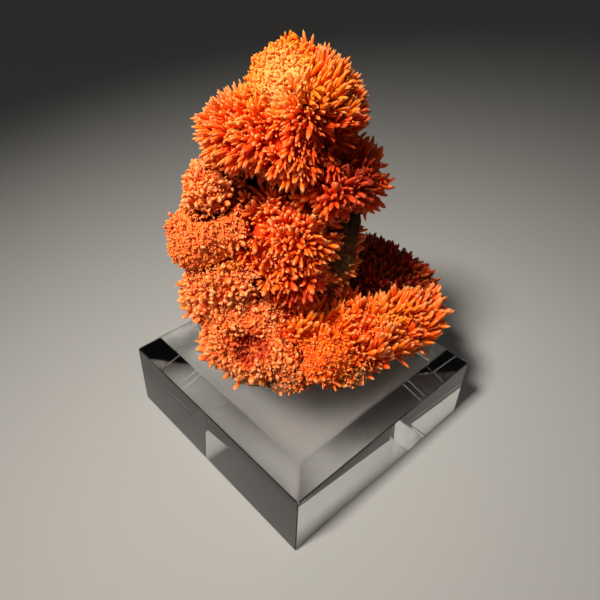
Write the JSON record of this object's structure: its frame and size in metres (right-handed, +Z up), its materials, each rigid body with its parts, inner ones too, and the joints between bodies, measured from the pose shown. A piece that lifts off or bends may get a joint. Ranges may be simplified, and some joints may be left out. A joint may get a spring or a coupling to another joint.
{
  "type": "calcite on matrix specimen",
  "caption": "Orange calcite crystals on a lumpy rock matrix, resting on a clear square display block with a bevelled top.",
  "frame": {"origin": "centre of the display block's underside", "axes": "+Z up, -Y towards the front corner of the block, +X to the right"},
  "size_m": [0.1128, 0.1128, 0.1259],
  "materials": {
    "clear_acrylic": "polished and clear",
    "matrix": "rough brown and olive rock",
    "calcite_bright": "translucent orange crystals with pale tips",
    "calcite_druse": "fine salmon orange druse",
    "calcite_deep": "dark red crystals"
  },
  "bodies": {
    "root": {"acrylic_base": "clear_acrylic", "matrix_rock": "matrix", "crown_calcite": "calcite_bright", "right_flank_calcite": "calcite_bright", "shoulder_calcite": "calcite_druse", "left_lobe_calcite": "calcite_druse", "middle_cluster_calcite": "calcite_bright", "lower_left_calcite": "calcite_druse", "ledge_front_calcite": "calcite_bright", "ledge_rim_calcite": "calcite_deep", "back_calcite": "calcite_deep"}
  },
  "joints": []
}
